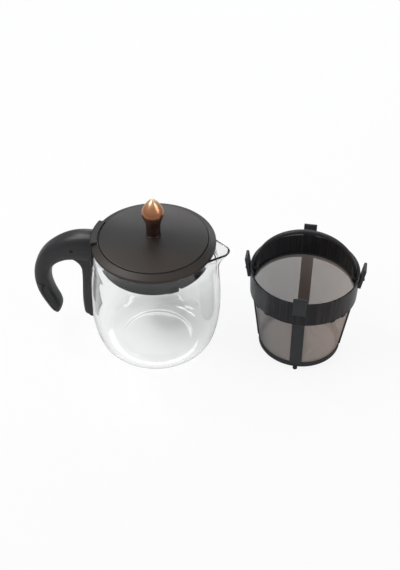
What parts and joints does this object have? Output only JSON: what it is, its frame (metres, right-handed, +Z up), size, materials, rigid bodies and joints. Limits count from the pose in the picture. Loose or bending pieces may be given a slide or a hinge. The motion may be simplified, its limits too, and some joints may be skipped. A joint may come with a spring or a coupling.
{
  "type": "glass brewing jug with filter basket",
  "caption": "Glass brewing jug with a lift-off knobbed lid, open side grip and pouring spout, beside its lift-out fine mesh filter basket with hook tabs and a swinging bail.",
  "frame": {"origin": "centre of the jug's foot, on the jug's axis, at the level it stands on", "axes": "+Z up along the jug's axis, +X towards the spout and the basket, -X towards the handle"},
  "size_m": [0.3287, 0.1408, 0.1769],
  "materials": {
    "clear_glass": "clear blown glass",
    "satin_black": "satin moulded plastic",
    "grip_black": "fine matt moulded plastic",
    "gloss_black": "glossy moulded plastic",
    "copper": "polished copper colour",
    "silicone": "translucent silicone",
    "steel": "plain steel",
    "fine_mesh": "fine woven wire"
  },
  "bodies": {
    "jug": {"glass_jug": "clear_glass", "handle_bracket": "satin_black", "grip_body": "grip_black", "grip_spine": "grip_black", "grip_screw": "satin_black", "bracket_screws": "steel", "bracket_liner": "silicone", "leg_bond_strip": "silicone"},
    "lid": {"lid_rim": "satin_black", "lid_disc": "satin_black", "lid_skirt": "gloss_black", "lid_seal": "silicone", "knob": "copper", "knob_collar": "copper", "knob_washer": "steel", "knob_screw": "steel"},
    "basket": {"basket_ring": "gloss_black", "hook_tabs": "satin_black", "mesh_frame": "satin_black", "side_mesh": "fine_mesh", "base_mesh": "fine_mesh", "bail_pins": "satin_black"},
    "bail": {"bail_hoop": "satin_black"}
  },
  "joints": [
    {"name": "lid_lift", "type": "slide", "parent": "jug", "child": "lid", "axis": [0, 0, 1], "range_m": [0, 0.07]},
    {"name": "basket_lift", "type": "slide", "parent": "jug", "child": "basket", "axis": [0, 0, 1], "range_m": [0, 0.13]},
    {"name": "bail_swing", "type": "hinge", "parent": "basket", "child": "bail", "pos_m": [0.146, 0.017, 0.0923], "axis": [1, 0, 0], "range_deg": [-77, 77]}
  ]
}
